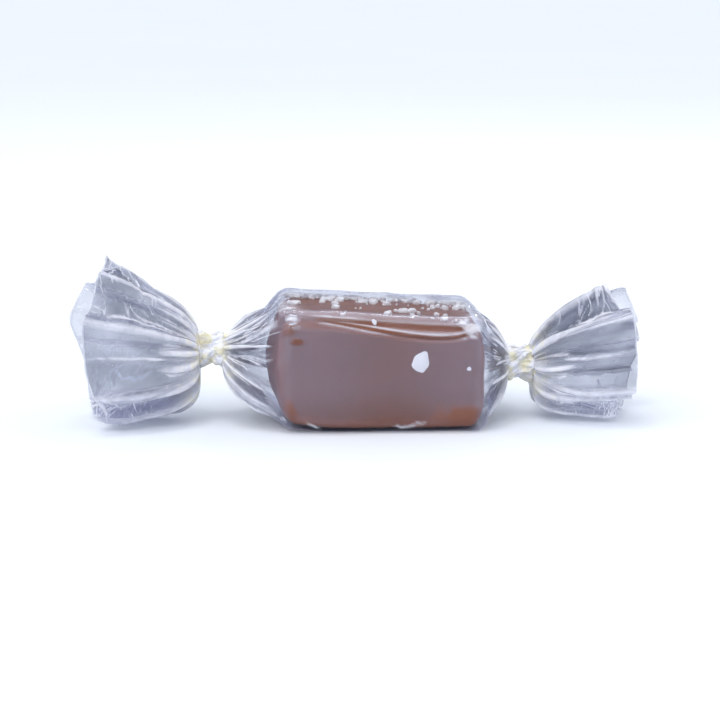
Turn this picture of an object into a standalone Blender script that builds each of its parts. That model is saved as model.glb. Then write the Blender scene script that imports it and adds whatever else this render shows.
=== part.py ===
"""Wrapped caramel: a hand-cut, salted block of soft caramel in a clear film wrap twisted shut at both ends.

Metres, +Z up. +X runs along the twist axis, -Y is the front of the block. The origin is on the surface that
the sweet lies on, under the middle of its bounding box.
"""

import math
import random

import bmesh
import bpy
import numpy as np

# Block of caramel, cut by hand: a little taller at its left end, with a lower face that lifts at the left
BLOCK_LENGTH = 0.0284
BLOCK_DEPTH = 0.0214
BLOCK_HEIGHT_LEFT = 0.0162
BLOCK_HEIGHT_RIGHT = 0.0146
BLOCK_LIFT_LEFT = 0.0008
LIFT_STARTS_AT = -0.0072
BLOCK_EDGE_RADIUS = 0.0018
BLOCK_BULGE = 0.0006
BLOCK_CUTS = 6

# Salt on the caramel
SALT_SEED = 11
SALT_COUNT = 24
SALT_SIZE_LARGE = 0.0015
SALT_SIZE_SMALL = 0.0007
SALT_PROUD = 0.0004
FLAKE_SIZE = (0.0024, 0.0008, 0.0028)
FLAKE_PLACE = (0.0051, 0.0100)
SPECK_SIZE = (0.0009, 0.0007, 0.0009)
SPECK_PLACE = (0.0118, 0.0090)

# Film: one sheet rolled round the block, gathered into a knot past each end, and fanned out beyond it
FILM_THICKNESS = 0.0002
GAP = 0.0003
GAP_OVER_SALT = 0.0008
GAP_ENDS = 0.0006
FILM_CORNER_RADIUS = 0.0022
SECTION_CORNER_POINTS = 5
SECTION_LONG_POINTS = 9
SECTION_SHORT_POINTS = 6
BODY_STATIONS = 9

KNOT_LENGTH = 0.0036
KNOT_STATIONS = 4
KNOT_RADIUS = 0.0023
TWIST = math.radians(100)

PLEAT_COUNT = 11
PLEAT_DEPTH = 0.0017
PLEAT_SHARE = 0.36
PLEAT_WANDER = ((1, 0.32, 0.6), (2, 0.20, 2.1), (3, 0.10, 4.0))
DROOP = 0.45
FAN_SPACING = 1.3
RIM_ROUND = 0.0036
FLOOR_CLEAR = 0.0006
FLOOR_SOFTNESS = 0.0005

# Each end: side, place of its knot, middle of its fan's rim, half sizes of the rim, slack of its neck, stations
LEFT_END = {
    "side": -1,
    "knot": (-0.0236, 0.0004, 0.0099),
    "rim": (-0.0418, -0.0016, 0.0118),
    "rim_half": (0.0100, 0.0113),
    "rim_tilt": (-0.0014, 0.0006),
    "neck_bow": 1.25,
    "flare_bow": 0.52,
    "neck_stations": 6,
    "fan_stations": 9,
    "pleat_turn": 0.3,
}
RIGHT_END = {
    "side": 1,
    "knot": (0.0200, 0.0002, 0.0078),
    "rim": (0.0367, -0.0014, 0.0100),
    "rim_half": (0.0085, 0.0094),
    "rim_tilt": (0.0012, -0.0008),
    "neck_bow": 0.80,
    "flare_bow": 0.46,
    "neck_stations": 5,
    "fan_stations": 8,
    "pleat_turn": 1.9,
}

CARAMEL_COLOR = (0.145, 0.050, 0.026, 1.0)
FILM_COLOR = (0.80, 0.83, 0.90, 1.0)


def clear_scene():
    for item in list(bpy.data.objects):
        bpy.data.objects.remove(item, do_unlink=True)


def new_collection(name):
    collection = bpy.data.collections.new(name)
    bpy.context.scene.collection.children.link(collection)
    return collection


def principled(name, color, roughness):
    material = bpy.data.materials.new(name)
    material.use_nodes = True
    shader = material.node_tree.nodes["Principled BSDF"]
    shader.inputs["Base Color"].default_value = color
    shader.inputs["Roughness"].default_value = roughness
    shader.inputs["Metallic"].default_value = 0.0
    return material


def smooth_rise(t):
    """Goes from 0 to 1 as t does, level at both ends."""
    t = np.clip(t, 0.0, 1.0)
    return t * t * (3.0 - 2.0 * t)


def block_lift(x):
    """Height of the block's lower face over its resting height: nil on the right, rising to the left end."""
    return BLOCK_LIFT_LEFT * smooth_rise((LIFT_STARTS_AT - x) / (BLOCK_LENGTH / 2 + LIFT_STARTS_AT))


def block_bottom(x):
    return FILM_THICKNESS + GAP + block_lift(x)


def block_top(x):
    along = x / BLOCK_LENGTH + 0.5
    height = BLOCK_HEIGHT_LEFT + (BLOCK_HEIGHT_RIGHT - BLOCK_HEIGHT_LEFT) * along
    return FILM_THICKNESS + GAP + height


def crown(*shares):
    """Bulge of a face: 1 in its middle, falling to 0 at its edges; each share runs from -0.5 to 0.5 across it."""
    height = 1.0
    for share in shares:
        height = height * (1.0 - 4.0 * share * share)
    return height


def make_block(collection, material):
    """The bare block: a cube cut into a grid, tapered and bulged, with rounded edges."""
    mesh = bpy.data.meshes.new("caramel")
    work = bmesh.new()
    bmesh.ops.create_cube(work, size=1.0)
    bmesh.ops.subdivide_edges(work, edges=work.edges[:], cuts=BLOCK_CUTS, use_grid_fill=True)
    for vert in work.verts:
        across, deep, up = vert.co
        x = across * (BLOCK_LENGTH - 2.0 * BLOCK_BULGE * (1.0 - crown(up)))
        y = deep * (BLOCK_DEPTH - 2.0 * BLOCK_BULGE * (1.0 - crown(across, up)))
        low = block_bottom(x)
        high = block_top(x) - BLOCK_BULGE * (1.0 - crown(across, deep))
        vert.co = (x, y, low + (up + 0.5) * (high - low))
    work.to_mesh(mesh)
    work.free()
    block = bpy.data.objects.new("caramel", mesh)
    collection.objects.link(block)
    mesh.materials.append(material)
    edge = block.modifiers.new("rounded edges", "BEVEL")
    edge.width = BLOCK_EDGE_RADIUS
    edge.segments = 4
    edge.limit_method = "ANGLE"
    edge.angle_limit = math.radians(50)
    return block


def make_crystal(collection, name, place, size, turn):
    """One grain: a coarse sphere squashed to its size and turned."""
    mesh = bpy.data.meshes.new(name)
    work = bmesh.new()
    bmesh.ops.create_icosphere(work, subdivisions=1, radius=0.5)
    bmesh.ops.scale(work, vec=size, verts=work.verts[:])
    work.to_mesh(mesh)
    work.free()
    crystal = bpy.data.objects.new(name, mesh)
    crystal.location = place
    crystal.rotation_euler = turn
    collection.objects.link(crystal)


def scatter_salt(collection):
    """Grains on the upper face, largest first, each kept clear of the others, thicker towards the back."""
    draw = random.Random(SALT_SEED)
    placed = []
    while len(placed) < SALT_COUNT:
        share = len(placed) / (SALT_COUNT - 1)
        size = SALT_SIZE_LARGE + (SALT_SIZE_SMALL - SALT_SIZE_LARGE) * share
        x = draw.uniform(-0.42, 0.42) * BLOCK_LENGTH
        y = (0.40 - 0.78 * draw.random() ** 1.8) * BLOCK_DEPTH
        turn = draw.uniform(0.0, math.pi)
        if any(math.hypot(x - u, y - v) < 0.6 * (size + w) for u, v, w in placed):
            continue
        placed.append((x, y, size))
        face = block_top(x) - BLOCK_BULGE * (1.0 - crown(x / BLOCK_LENGTH, y / BLOCK_DEPTH))
        height = 1.3 * SALT_PROUD
        place = (x, y, face + SALT_PROUD - height)
        make_crystal(collection, f"salt_{len(placed):02d}", place, (size, 0.8 * size, 2.0 * height), (0, 0, turn))


def place_front_salt(collection):
    """The one large flake and the one speck on the front face."""
    for name, size, place in (("flake", FLAKE_SIZE, FLAKE_PLACE), ("speck", SPECK_SIZE, SPECK_PLACE)):
        x, z = place
        up = (z - block_bottom(x)) / (block_top(x) - block_bottom(x)) - 0.5
        face = -BLOCK_DEPTH / 2 + BLOCK_BULGE * (1.0 - crown(x / BLOCK_LENGTH, up))
        make_crystal(collection, name, (x, face + 0.3 * size[1], z), size, (0, math.radians(25), 0))


def fuse_salt(block, salt):
    """Joins every grain to the block with one union, and removes the loose grains."""
    join = block.modifiers.new("salt", "BOOLEAN")
    join.operation = "UNION"
    join.operand_type = "COLLECTION"
    join.collection = salt
    join.solver = "EXACT"
    bpy.context.view_layer.update()
    evaluated = block.evaluated_get(bpy.context.evaluated_depsgraph_get())
    fused = bpy.data.meshes.new_from_object(evaluated)
    block.modifiers.clear()
    bare = block.data
    block.data = fused
    bpy.data.meshes.remove(bare)
    fused.name = "caramel"
    for grain in list(salt.objects):
        bpy.data.objects.remove(grain, do_unlink=True)
    bpy.data.collections.remove(salt)
    fused.shade_smooth()
    fused.set_sharp_from_angle(angle=math.radians(35))


def rounded_rectangle(half_depth, low, high):
    """Points of one section round the block, as rows of (y, z): arcs at the corners, even steps between them."""
    radius = FILM_CORNER_RADIUS
    inner_y = half_depth - radius
    centres = (
        (inner_y, high - radius, 0.0),
        (-inner_y, high - radius, 90.0),
        (-inner_y, low + radius, 180.0),
        (inner_y, low + radius, 270.0),
    )
    points = []
    for number, (y, z, start) in enumerate(centres):
        for angle in np.radians(start + np.linspace(0.0, 90.0, SECTION_CORNER_POINTS)):
            points.append((y + radius * math.cos(angle), z + radius * math.sin(angle)))
        steps = SECTION_LONG_POINTS if number % 2 == 0 else SECTION_SHORT_POINTS
        following = centres[(number + 1) % 4]
        turn = math.radians(following[2])
        last = np.array(points[-1])
        target = np.array(
            (following[0] + radius * math.cos(turn), following[1] + radius * math.sin(turn))
        )
        for step in range(1, steps + 1):
            points.append(tuple(last + (target - last) * step / (steps + 1)))
    return np.array(points)


def body_section(x):
    """The film's outer surface round the block at one place along it, as rows of (x, y, z)."""
    inside = np.clip(x, -BLOCK_LENGTH / 2, BLOCK_LENGTH / 2)
    half_depth = BLOCK_DEPTH / 2 + GAP + FILM_THICKNESS
    low = block_lift(inside)
    high = block_top(inside) + GAP_OVER_SALT + FILM_THICKNESS
    flat = rounded_rectangle(half_depth, low, high)
    return np.column_stack((np.full(len(flat), x), flat))


def around():
    """Angle of each point of a section about the twist axis, counted the way rounded_rectangle goes."""
    flat = body_section(0.0)[:, 1:]
    middle = (flat.max(axis=0) + flat.min(axis=0)) / 2
    return np.unwrap(np.arctan2(flat[:, 1] - middle[1], flat[:, 0] - middle[0]))


def pleats(turn):
    """Fold pattern round a section, from -1 in a valley to 1 on a ridge: sharp, uneven in width and depth."""
    angle = around()
    warped = angle + turn
    for count, strength, start in PLEAT_WANDER:
        warped = warped + strength * np.sin(count * angle + start + turn)
    phase = (PLEAT_COUNT * warped / (2.0 * math.pi)) % 1.0
    triangle = 1.0 - 4.0 * np.abs(phase - 0.5)
    return triangle * (0.78 + 0.22 * np.sin(2.0 * angle + 3.0 * turn))


def ring(centre, half_depth, half_height, pleat_depth, end, twist):
    """A gathered section: an ellipse about its centre, folded by the pleats and turned by the twist."""
    angle = around() + twist
    fold = pleats(end["pleat_turn"]) * pleat_depth
    y = centre[1] + (half_depth + fold) * np.cos(angle)
    z = centre[2] + (half_height + fold) * np.sin(angle)
    return np.column_stack((np.full(len(angle), centre[0]), y, z))


def over_floor(points):
    """Lifts what would go through the floor, so that a fan lies flattened on it."""
    lifted = points.copy()
    over = (points[:, 2] - FLOOR_CLEAR) / FLOOR_SOFTNESS
    lifted[:, 2] = FLOOR_CLEAR + FLOOR_SOFTNESS * np.logaddexp(0.0, over)
    return lifted


def neck_sections(end):
    """From the block's end in to the knot: each point runs straight, bowed in or out by neck_bow."""
    side = end["side"]
    start = body_section(side * (BLOCK_LENGTH / 2 + GAP_ENDS))
    knot_x = end["knot"][0] - side * KNOT_LENGTH / 2
    goal = ring((knot_x, *end["knot"][1:]), KNOT_RADIUS, KNOT_RADIUS, 0.0, end, 0.0)
    folds = pleats(end["pleat_turn"])
    sections = []
    for step in range(1, end["neck_stations"] + 1):
        along = step / end["neck_stations"]
        nearness = (1.0 - along) ** end["neck_bow"]
        points = goal + (start - goal) * nearness
        points[:, 0] = start[:, 0] + (knot_x - start[:, 0]) * along
        middle = points.mean(axis=0)
        spoke = points[:, 1:] - middle[1:]
        reach = np.linalg.norm(spoke, axis=1)
        depth = np.minimum(PLEAT_DEPTH * smooth_rise(1.5 * along), PLEAT_SHARE * reach)
        points[:, 1:] += spoke / reach[:, None] * (folds * depth)[:, None]
        sections.append(points)
    return sections


def knot_sections(end):
    """Through the knot: a tight ring that turns with the twist and is narrowest in its middle."""
    side = end["side"]
    sections = []
    for step in range(1, KNOT_STATIONS + 1):
        along = step / KNOT_STATIONS
        x = end["knot"][0] + side * KNOT_LENGTH * (along - 0.5)
        radius = KNOT_RADIUS * (1.0 - 0.18 * math.sin(math.pi * along))
        turned = side * TWIST * along
        sections.append(ring((x, *end["knot"][1:]), radius, radius, PLEAT_SHARE * radius, end, turned))
    return sections


def fan_sections(end):
    """Past the knot: pleats that spread from it like a trumpet, soonest below, to a rim that draws back above
    and below, as the rim of a flat sheet gathered at one point does."""
    side = end["side"]
    start = np.array(end["knot"]) + (side * KNOT_LENGTH / 2, 0.0, 0.0)
    rim = np.array(end["rim"])
    angle = around() + side * TWIST
    bow = end["flare_bow"] * (1.0 - DROOP * smooth_rise(0.5 - np.sin(angle)))
    sections = []
    for step in range(1, end["fan_stations"] + 1):
        along = (step / end["fan_stations"]) ** FAN_SPACING
        spread = along ** bow
        half_depth = KNOT_RADIUS + (end["rim_half"][0] - KNOT_RADIUS) * spread
        half_height = KNOT_RADIUS + (end["rim_half"][1] - KNOT_RADIUS) * spread
        depth = np.minimum(PLEAT_DEPTH, PLEAT_SHARE * half_depth)
        centre = start + (rim - start) * along
        points = ring(centre, half_depth, half_height, depth, end, side * TWIST)
        tilt_y, tilt_z = end["rim_tilt"]
        points[:, 0] += along * (tilt_y * np.cos(angle) + tilt_z * np.sin(angle))
        points[:, 0] -= side * RIM_ROUND * (along * np.sin(angle)) ** 2
        sections.append(over_floor(points))
    return sections


def film_sections():
    """Every section from the left rim to the right one."""
    left = [body_section(-(BLOCK_LENGTH / 2 + GAP_ENDS))]
    left += neck_sections(LEFT_END) + knot_sections(LEFT_END) + fan_sections(LEFT_END)
    right = [body_section(BLOCK_LENGTH / 2 + GAP_ENDS)]
    right += neck_sections(RIGHT_END) + knot_sections(RIGHT_END) + fan_sections(RIGHT_END)
    places = np.linspace(-BLOCK_LENGTH / 2, BLOCK_LENGTH / 2, BODY_STATIONS)
    return left[::-1] + [body_section(x) for x in places] + right


def make_wrapper(collection, material):
    """The film: a loft through its sections, with the wall's thickness added on the inside."""
    grid = np.array(film_sections())
    rows, columns = grid.shape[:2]
    faces = []
    for row in range(rows - 1):
        for column in range(columns):
            following = (column + 1) % columns
            a = row * columns + column
            b = row * columns + following
            faces.append((a, b + columns, a + columns))
            faces.append((a, b, b + columns))
    mesh = bpy.data.meshes.new("wrapper")
    mesh.from_pydata(grid.reshape(-1, 3).tolist(), [], faces)
    mesh.materials.append(material)
    mesh.shade_smooth()
    wrapper = bpy.data.objects.new("wrapper", mesh)
    collection.objects.link(wrapper)
    wall = wrapper.modifiers.new("film", "SOLIDIFY")
    wall.thickness = FILM_THICKNESS
    wall.offset = -1.0
    wall.use_even_offset = False
    return wrapper


def centre_on_origin(pieces):
    """Moves every piece so that the origin is under the middle of the whole's bounding box."""
    corners = np.array([co for piece in pieces for co in (v.co[:] for v in piece.data.vertices)])
    middle = (corners.min(axis=0) + corners.max(axis=0)) / 2
    for piece in pieces:
        for vert in piece.data.vertices:
            vert.co.x -= middle[0]
            vert.co.y -= middle[1]


def main():
    clear_scene()
    parts = new_collection("wrapped_caramel")
    salt = new_collection("salt")
    block = make_block(parts, principled("caramel", CARAMEL_COLOR, 0.35))
    scatter_salt(salt)
    place_front_salt(salt)
    fuse_salt(block, salt)
    wrapper = make_wrapper(parts, principled("film", FILM_COLOR, 0.1))
    centre_on_origin((block, wrapper))


main()
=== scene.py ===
"""Wrapped caramel: the salted block, its grains of salt and the clear twisted film on a pale floor."""

import math

import bmesh
import bpy
import numpy as np
from bpy.props import FloatProperty, FloatVectorProperty, IntProperty, PointerProperty
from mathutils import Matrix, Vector


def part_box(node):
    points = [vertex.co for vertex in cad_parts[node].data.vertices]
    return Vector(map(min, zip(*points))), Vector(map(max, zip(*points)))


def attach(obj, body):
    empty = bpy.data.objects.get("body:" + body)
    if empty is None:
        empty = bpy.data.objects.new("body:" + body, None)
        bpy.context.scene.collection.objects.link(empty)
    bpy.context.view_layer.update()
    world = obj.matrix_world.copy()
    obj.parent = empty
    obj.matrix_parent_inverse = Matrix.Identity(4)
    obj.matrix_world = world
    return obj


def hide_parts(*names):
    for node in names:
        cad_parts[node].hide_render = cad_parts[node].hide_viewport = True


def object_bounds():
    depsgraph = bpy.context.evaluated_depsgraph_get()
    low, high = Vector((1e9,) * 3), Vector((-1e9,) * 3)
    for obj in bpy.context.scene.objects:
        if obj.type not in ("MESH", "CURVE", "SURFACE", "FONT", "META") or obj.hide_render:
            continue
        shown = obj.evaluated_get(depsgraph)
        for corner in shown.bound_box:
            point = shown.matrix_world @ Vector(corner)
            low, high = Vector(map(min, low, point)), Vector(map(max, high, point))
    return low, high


bl_info = {
    "name": "Wrapped Caramel",
    "version": (1, 0, 0),
    "blender": (4, 5, 0),
    "location": "View3D > Sidebar > Caramel",
    "description": "Builds a salted caramel in a clear film wrap twisted shut at both ends",
    "category": "Object",
}

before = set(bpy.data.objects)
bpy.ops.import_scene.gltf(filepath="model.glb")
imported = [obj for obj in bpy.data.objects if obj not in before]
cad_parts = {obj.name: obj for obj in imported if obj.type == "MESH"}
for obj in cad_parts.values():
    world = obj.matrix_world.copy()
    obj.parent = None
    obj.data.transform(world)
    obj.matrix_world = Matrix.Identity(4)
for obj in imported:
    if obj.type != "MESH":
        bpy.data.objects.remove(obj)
CAD_BOX = [list(corner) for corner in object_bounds()]

# Block, measured from the middle of its own length and depth, on the floor
BLOCK_LENGTH = 0.0284
BLOCK_DEPTH = 0.0214
BLOCK_HEIGHT_LEFT = 0.0162
BLOCK_HEIGHT_RIGHT = 0.0146
BLOCK_LIFT_LEFT = 0.0008
LIFT_STARTS_AT = -0.0072
BLOCK_BULGE = 0.0006
BLOCK_FLOOR = 0.0005
LONG_EDGE_RADIUS = 0.0020
END_BULGE = 0.0018
CARAMEL_LOW, CARAMEL_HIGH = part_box("caramel")
MIDDLE_X = (CARAMEL_LOW.x + CARAMEL_HIGH.x) / 2
MIDDLE_Y = CARAMEL_HIGH.y - BLOCK_DEPTH / 2

# Film round the block: its corners, and its gaps at the front and back, over the salt, below and at the ends
FILM_CORNER_RADIUS = 0.0024
FILM_REACH = 0.0003
FILM_OVER_SALT = 0.0005
FILM_UNDER = 0.0001
FILM_HALF = BLOCK_LENGTH / 2 + 0.0003
END_RADIUS = 0.0024
END_TURN = 0.72
FILM_NECK_FROM = FILM_HALF - END_RADIUS * (1 - END_TURN)

# Knots, and the pleats of necks and fans, whose spacing wanders by waves of a number, strength and start
KNOT_LENGTH = 0.0036
KNOT_RADIUS = 0.0023
TWIST = math.radians(100)
PLEAT_COUNT = 11
PLEAT_DEPTH = 0.0017
PLEAT_SHARE = 0.36
PLEAT_WANDER = ((1, 0.32, 0.6), (2, 0.20, 2.1), (3, 0.10, 4.0))
DROOP = 0.45
RIM_ROUND = 0.0036

# Height and softness of the step that keeps the film over the floor
FAN_CLEAR, FAN_SOFTNESS = 0.0003, 0.0005
WRAP_CLEAR, WRAP_SOFTNESS = 0.0001, 0.0001

# Both ends: places and sizes; the bows are powers by which neck and fan widen, the pocket is in radians
LEFT_END = {
    "name": "left",
    "side": -1,
    "knot": (-0.0236, 0.0004, 0.0099),
    "rim": (-0.0418, -0.0016, 0.0118),
    "rim_half": (0.0100, 0.0113),
    "rim_tilt": (-0.0014, 0.0006),
    "neck_bow": 1.25,
    "neck_sag": 0.55,
    "flare_bow": 0.52,
    "pleat_turn": 0.3,
    "pocket": (3.22, 0.42),
    "seed": 21,
}
RIGHT_END = {
    "name": "right",
    "side": 1,
    "knot": (0.0200, 0.0002, 0.0078),
    "rim": (0.0367, -0.0014, 0.0100),
    "rim_half": (0.0085, 0.0094),
    "rim_tilt": (0.0012, -0.0008),
    "neck_bow": 0.80,
    "neck_sag": 0.0,
    "flare_bow": 0.46,
    "pleat_turn": 1.9,
    "pocket": (3.05, 0.50),
    "seed": 47,
}

# Flakes of salt on the front face: place along and up, width, height, tilt
FRONT_FLAKES = (
    (0.0051, 0.0100, 0.0023, 0.0031, 0.45),
    (0.0118, 0.0090, 0.0006, 0.0006, 0.2),
    (-0.0012, 0.0156, 0.0009, 0.0006, 1.1),
)

# Dimples of the film by the upper front edge, each with a painted glint on it: place along, place below the
# edge, width, depth
DIMPLES = (
    (0.0122, 0.0006, 0.0012, 0.00036),
    (0.0108, -0.0003, 0.0007, 0.00018),
    (-0.0124, 0.0003, 0.0009, 0.00028),
    (0.0045, -0.0016, 0.0006, 0.00010),
)

# Rise of the sheet from its inner free edge to its outer one, round the block and in the fans
WRAP_RISE = 0.00018
FAN_RISE = 0.0004

# Depths of the grooves where the film sticks to the caramel, in the block and in the film
BLOCK_GROOVE = 0.00022
FILM_GROOVE = 0.00008

# Width over which a full fold counts as one sharp crease
CREASE_WIDTH = 0.0004

# Tallest grain of salt, and a front flake's thickness over its width
TALLEST_GRAIN = 0.0009
FLAKE_THICKNESS = 0.09
FLAKE_POINTS = 20

# Depth of a knot's crumples, and its length and radius over those of the solid's
KNOT_CRUMPLE = 0.0005
KNOT_LONGER = 1.25
KNOT_WIDER = 1.1

# Where the film sticks to the caramel along the upper front edge
STUCK_FROM = -0.0112
STUCK_TO = 0.0128
STUCK_LOWER = 0.0020
STUCK_UPPER = 0.0006
STUCK_WIDTH = 0.00027

# Patches of the front face where the film sticks, where the caramel is painted lighter as light and the
# film's painted reflection is left off: place along and up, half width, half height
STUCK_PATCHES = (
    (0.0108, 0.0021, 0.0034, 0.0016),
    (-0.0131, 0.0147, 0.0011, 0.0007),
    (-0.0117, 0.0130, 0.0007, 0.0004),
    (-0.0128, 0.0030, 0.0007, 0.0018),
)

# Share of the painted light colour where the film presses fully on the caramel: a lighter orange painted on
# as light
PAINTED_LIGHT_SHARE = 0.85

# How much the film mirrors face on and more at a slant, and what is left of it where it sticks
MIRROR_FACING = 0.048
MIRROR_AT_A_SLANT = 0.90
STUCK_MIRROR_SHARE = 0.25

# Painted white of full creases, as highlights, and of knots, painted reflection of loose and of stuck film,
# and how far full gathers clear that painted reflection
CREASE_HIGHLIGHT = 0.75
KNOT_PAINTED_WHITE = 0.55
LOOSE_PAINTED_REFLECTION = 0.088
STUCK_PAINTED_REFLECTION = 0.002
GATHER_CLEARS = 0.62
FILM_ROUGHNESS = 0.06

# Soft boxes: name, place, what they point at, size, power, colour
SOFT_BOXES = (
    ("overhead", (-0.08, -0.10, 0.50), (0, 0, 0), (0.08, 0.08), 0.22, (1.0, 1.0, 1.0)),
    ("front_left", (-0.34, -0.40, 0.30), (0, 0, 0.01), (0.04, 0.04), 0.16, (0.97, 0.98, 1.0)),
    ("right_strip", (0.40, -0.20, 0.22), (0, 0, 0.01), (0.03, 0.08), 0.15, (1.0, 0.99, 0.97)),
    ("back_rim", (0.10, 0.40, 0.36), (0, 0, 0.01), (0.16, 0.04), 0.19, (0.96, 0.97, 1.0)),
)

# Small lamps all round, which show as glints on the film
SPARKLES = 12
SPARKLE_DISTANCE = 0.42
SPARKLE_SIZE = (0.018, 0.018)
SPARKLE_POWER = 0.022

# What the film mirrors: height on the sky's ball, from 0 below to 1 above, and its light
SKY_STRENGTH = 4.7
SKY = (
    (0.00, (0.097, 0.102, 0.121, 1)),
    (0.10, (0.045, 0.039, 0.041, 1)),
    (0.42, (0.048, 0.043, 0.048, 1)),
    (0.57, (0.110, 0.115, 0.130, 1)),
    (0.58, (0.900, 0.940, 1.000, 1)),
    (0.63, (0.900, 0.940, 1.000, 1)),
    (0.64, (0.110, 0.115, 0.130, 1)),
    (1.00, (0.115, 0.120, 0.130, 1)),
)


# Settings


def color_setting(label, description, default):
    return FloatVectorProperty(name=label, description=description, subtype="COLOR", size=3, default=default)


def length_setting(label, description, default):
    return FloatProperty(name=label, description=description, unit="LENGTH", default=default)


def share_setting(label, description, default):
    return FloatProperty(name=label, description=description, subtype="FACTOR", default=default)


def angle_setting(label, description, degrees):
    default = math.radians(degrees)
    return FloatProperty(name=label, description=description, subtype="ANGLE", default=default)


class CaramelBlockSettings(bpy.types.PropertyGroup):
    """Sizes and colours of the block"""

    color: color_setting("Caramel", "Colour of the caramel", (0.165, 0.062, 0.036))
    # Painted light: a lighter orange painted on the caramel where the film presses, on the rounded edges,
    # the ends and the top
    painted_light_color: color_setting("Edges", "Colour where the film presses on the caramel", (0.275, 0.088, 0.034))
    edge_radius: length_setting("Edge Radius", "Rounding of the block's edges", 0.0019)
    unevenness: length_setting("Unevenness", "Depth of the hand-cut unevenness", 0.00018)


class CaramelSaltSettings(bpy.types.PropertyGroup):
    """Number, size and colour of the grains"""

    count: IntProperty(name="Grains", description="Grains on the upper face", default=150, min=1)
    largest: length_setting("Largest", "Width of the largest grain", 0.0016)
    smallest: length_setting("Smallest", "Width of the smallest grain", 0.0003)
    color: color_setting("Salt", "Colour of the salt", (0.94, 0.94, 0.97))


class CaramelFilmSettings(bpy.types.PropertyGroup):
    """Sizes and colours of the film"""

    thickness: length_setting("Thickness", "Thickness of the film", 0.00006)
    overlap: share_setting("Overlap", "Share of a turn by which the sheet overlaps itself", 0.2)
    crinkle: length_setting("Crinkle", "Depth of the fine crinkles of the gathered film", 0.0006)
    clear: color_setting("Clear Film", "What flat film lets through", (0.975, 0.978, 0.985))
    # Painted shade: the grey that gathered film lets through, standing in for dark surroundings seen through
    # and mirrored in the fans
    gathered_shade_tint: color_setting("Gathered Film", "What gathered film lets through", (0.705, 0.716, 0.740))
    # Painted reflection: a pale blue veil painted on loose film, standing in for the pale surroundings that
    # the film mirrors
    painted_reflection: color_setting("Veil", "Colour of the faint veil on flat film", (0.58, 0.61, 0.85))
    # Painted highlights: the white painted along sharp creases, cut edges and glint spots, also used for the
    # painted white of the knots
    painted_white: color_setting("Creases", "Colour of sharp creases", (0.90, 0.91, 0.98))
    knot_yellow: color_setting("Knot Tint", "Yellow tint deep in the knots", (0.80, 0.74, 0.42))


class CaramelStageSettings(bpy.types.PropertyGroup):
    """Camera and light"""

    elevation: angle_setting("Elevation", "Camera's height angle over the floor", 11)
    azimuth: angle_setting("Azimuth", "Camera's turn round the sweet", -3)
    lens: FloatProperty(name="Lens", description="Focal length", default=110.0)
    share: share_setting("Share", "Share of the picture's width that the sweet takes", 0.80)


# Arithmetic shared by the pieces


def smooth_rise(t):
    """3t squared less 2t cubed, held at 0 below t = 0 and at 1 above t = 1."""
    t = np.clip(t, 0.0, 1.0)
    return t * t * (3.0 - 2.0 * t)


def bell(t):
    """Bell curve: e to the power of less t squared."""
    return np.exp(-(t**2))


def crown(*shares):
    """Product of 1 less 4 times each share squared: 1 in the middle of a face, 0 at its edges."""
    height = 1.0
    for share in shares:
        height = height * (1.0 - 4.0 * share * share)
    return height


def lattice_noise(x, y, seed, period=0):
    """Random values at whole numbers of x and y, blended between them by smooth_rise; x may repeat by
    period."""
    size = 64
    table = np.random.default_rng(seed).uniform(-1.0, 1.0, (size, size))
    column = np.floor(x).astype(int)
    row = np.floor(y).astype(int)
    across = smooth_rise(x - column)
    up = smooth_rise(y - row)
    wrap = period or size

    def value(i, j):
        return table[(i % wrap) % size, j % size]

    low = value(column, row) * (1 - across) + value(column + 1, row) * across
    high = value(column, row + 1) * (1 - across) + value(column + 1, row + 1) * across
    return low * (1 - up) + high * up


def grid_normals(grid):
    """Unit normals of a grid of points: the cross product of its steps across and down."""
    down = np.gradient(grid, axis=0)
    across = np.gradient(grid, axis=1)
    normal = np.cross(across, down)
    length = np.linalg.norm(normal, axis=2, keepdims=True)
    return normal / np.maximum(length, 1e-12)


def sharpness(grid, spacing):
    """How sharply a grid is folded at each point: the change of its normal from one side to the other,
    both ways, over the change that a fold of one radian in the given spacing makes."""
    normal = grid_normals(grid)
    turn = np.zeros(grid.shape[:2])
    for axis in (0, 1):
        step = np.linalg.norm(np.gradient(grid, axis=axis), axis=2)
        bend = np.linalg.norm(np.gradient(normal, axis=axis), axis=2)
        turn = np.maximum(turn, bend / np.maximum(step, 1e-6) * spacing)
    return turn


def from_block_middle(points):
    """Moves points measured from the block's middle to the frame's origin."""
    return points + np.array((MIDDLE_X, MIDDLE_Y, 0.0))


def grid_faces(rows, columns, closed):
    """Quads between the rows of a grid; the last column joins the first where it is closed."""
    across = np.arange(columns if closed else columns - 1)
    following = (across + 1) % columns
    start = np.arange(rows - 1)[:, None] * columns
    quads = np.stack(
        (start + across, start + following, start + columns + following, start + columns + across), axis=-1
    )
    return quads.reshape(-1, 4)


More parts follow.
